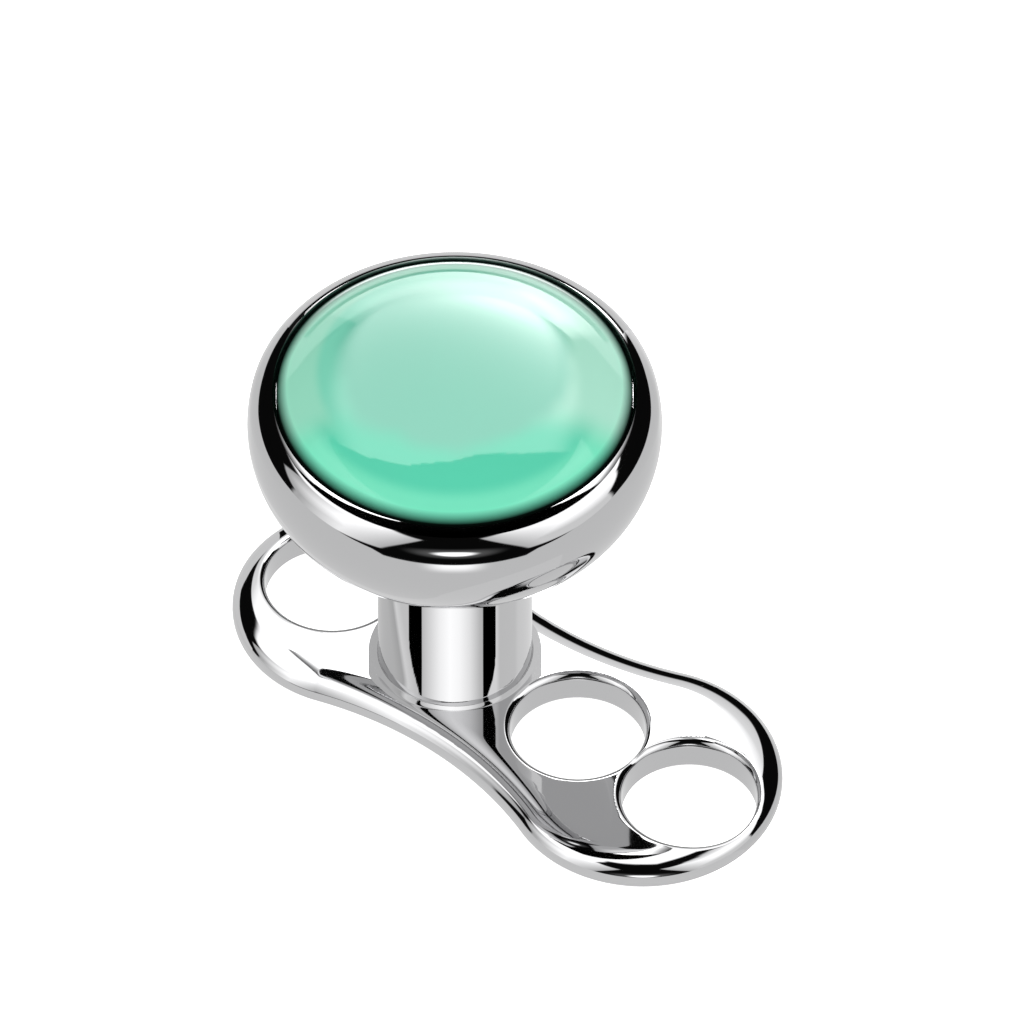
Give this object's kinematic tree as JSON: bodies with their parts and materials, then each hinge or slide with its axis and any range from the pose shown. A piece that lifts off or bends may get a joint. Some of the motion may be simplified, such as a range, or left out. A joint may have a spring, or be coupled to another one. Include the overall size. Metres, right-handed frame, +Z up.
{
  "type": "dermal anchor with screw-on disc top",
  "caption": "Dermal anchor: a domed green stone in a round polished steel cup, whose threaded stud screws into the post of a flat pierced foot.",
  "frame": {"origin": "on the post's axis, in the plane of the foot's underside", "axes": "+Z up the post towards the stone, +X along the foot towards its longer end with two holes"},
  "size_m": [0.0065, 0.0042, 0.0051],
  "materials": {
    "polished_steel": "mirror polished",
    "mint_stone": "glossy"
  },
  "bodies": {
    "anchor": {"anchor_base": "polished_steel"},
    "top": {"disc_cup": "polished_steel", "cabochon": "mint_stone"}
  },
  "joints": [
    {"name": "top_unscrews", "type": "slide", "parent": "anchor", "child": "top", "axis": [0, 0, 1], "range_m": [0, 0.0016]}
  ]
}
